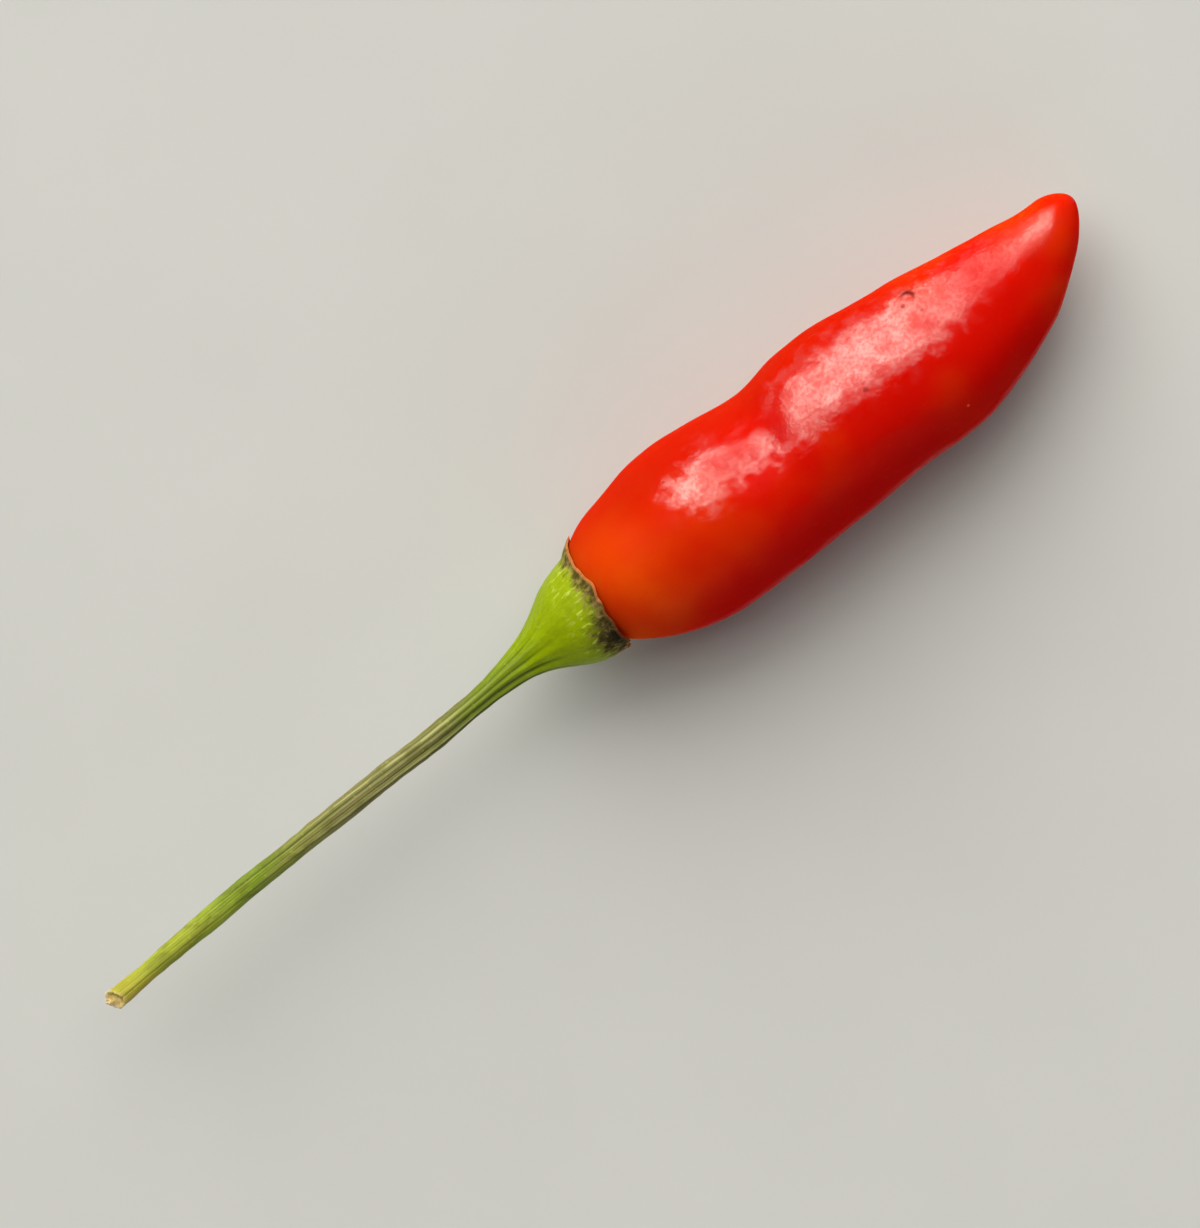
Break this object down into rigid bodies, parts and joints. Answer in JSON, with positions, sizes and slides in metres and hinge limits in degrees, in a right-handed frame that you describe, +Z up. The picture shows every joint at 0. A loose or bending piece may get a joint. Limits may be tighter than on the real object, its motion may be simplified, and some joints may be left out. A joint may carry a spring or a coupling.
{
  "type": "tabasco pepper",
  "caption": "Small ripe pepper lying on its side: a glossy, slightly bent pod with a shallow waist, a ribbed calyx cup and a long slender ridged stalk.",
  "frame": {"origin": "on the flat spot that the pod rests on, about under the centre of mass, at the surface's level", "axes": "+X along the pepper from the stalk's broken end to the pod's tip, +Z up from the surface, +Y to the side that the waist's hollow faces"},
  "size_m": [0.0776, 0.0121, 0.0111],
  "materials": {
    "pod": "glossy waxy red skin",
    "calyx": "satin yellow-green with a dry brown rim",
    "pedicel": "satin green, with fine lengthwise grooves"
  },
  "bodies": {
    "root": {"pod": "pod", "calyx": "calyx", "pedicel": "pedicel"}
  },
  "joints": []
}
